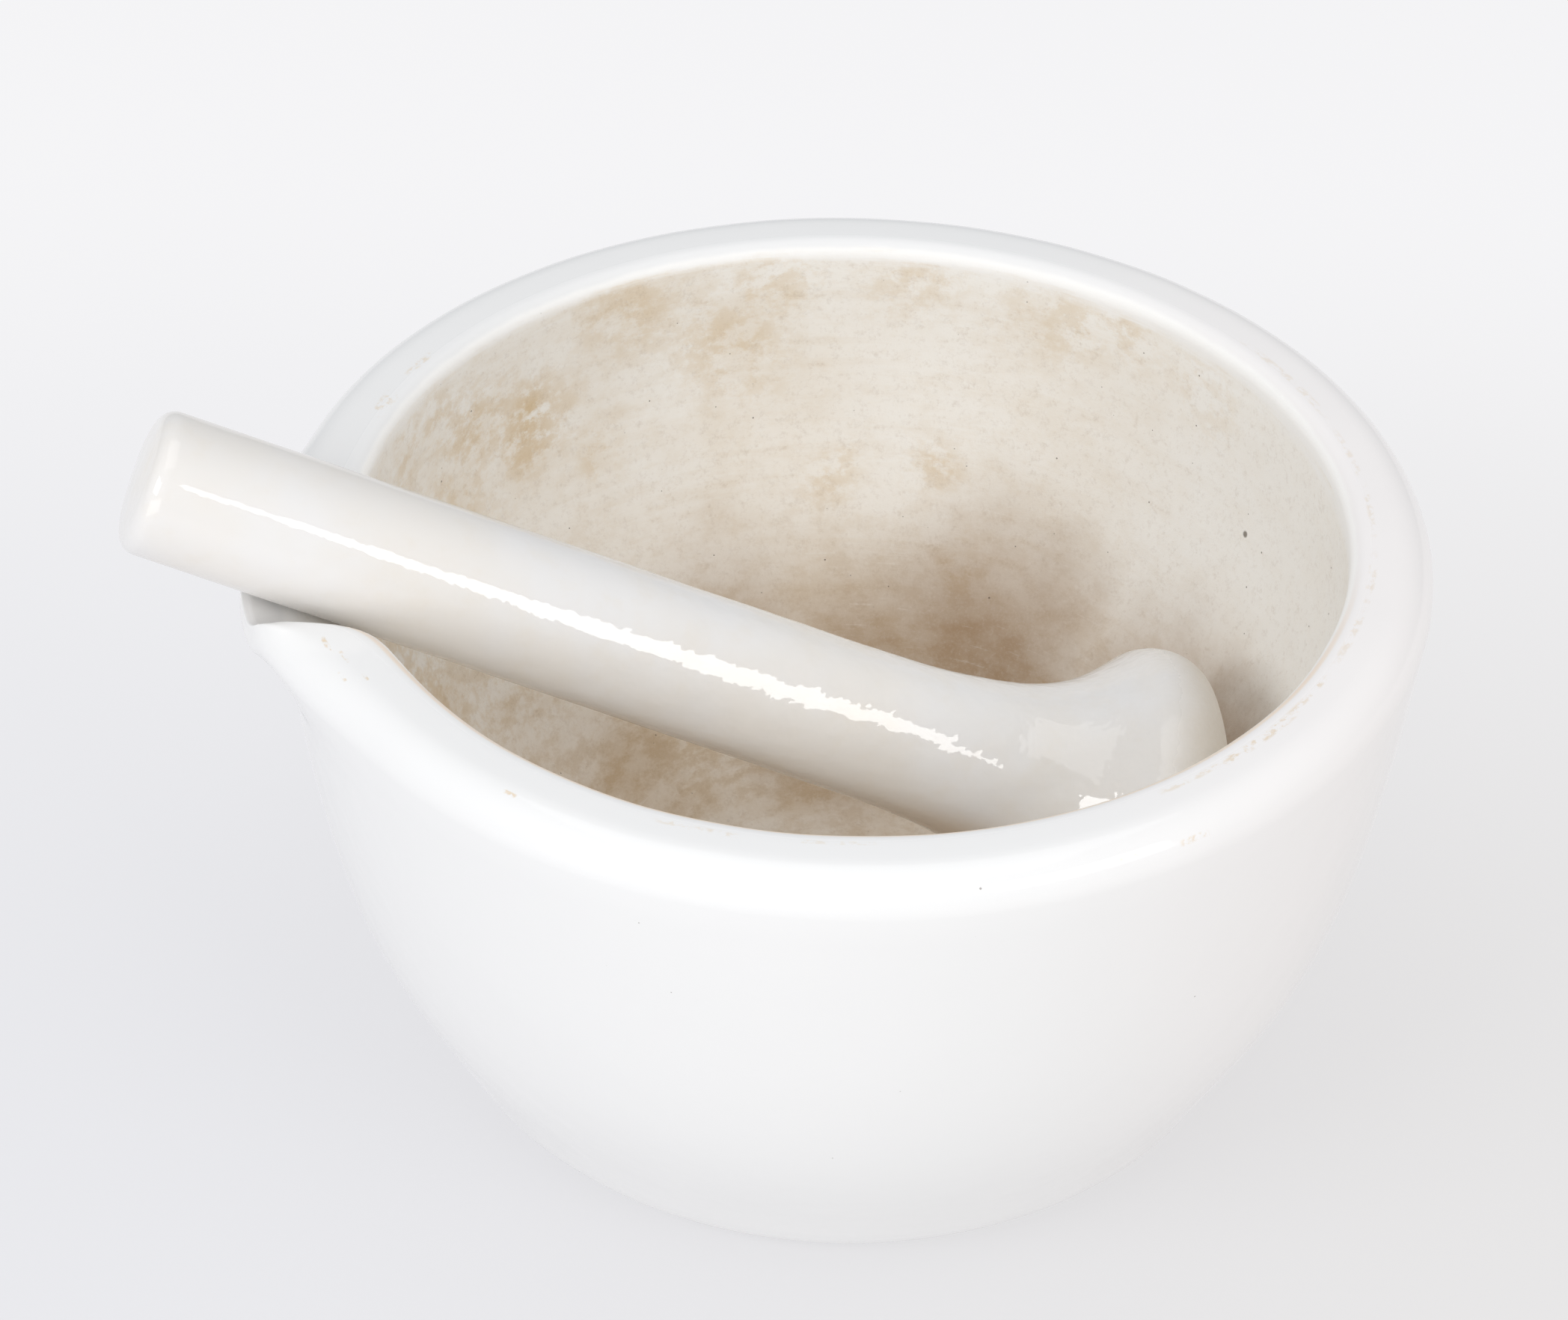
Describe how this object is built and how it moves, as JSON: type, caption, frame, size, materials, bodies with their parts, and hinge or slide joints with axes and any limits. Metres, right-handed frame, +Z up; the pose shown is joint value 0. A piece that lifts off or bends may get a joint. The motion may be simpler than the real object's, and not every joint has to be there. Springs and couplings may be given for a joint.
{
  "type": "mortar and pestle",
  "caption": "Thick-walled porcelain mortar, glazed outside and bare inside, with a pouring lip and a flat foot, and a one-piece porcelain pestle lying in the bowl and over the lip.",
  "frame": {"origin": "centre of the mortar's flat foot, on the surface it stands on", "axes": "+Z up, out of the bowl's mouth; -X towards the pouring lip and the handle of the resting pestle, the lip itself turned 13 degrees from -X towards -Y; -Y towards a person who pours to the left"},
  "size_m": [0.2791, 0.25, 0.1708],
  "materials": {
    "mortar_porcelain": "white gloss glaze on the outside and the rim, bare matte porcelain with tan grinding stains inside the bowl",
    "pestle_porcelain": "warm light grey gloss glaze, bare and matte on the grinding face"
  },
  "bodies": {
    "mortar": {"mortar": "mortar_porcelain"},
    "pestle": {"pestle": "pestle_porcelain"}
  },
  "joints": [
    {"name": "pestle_lift", "type": "slide", "parent": "mortar", "child": "pestle", "axis": [0, 0, 1], "range_m": [0, 0.16]}
  ]
}
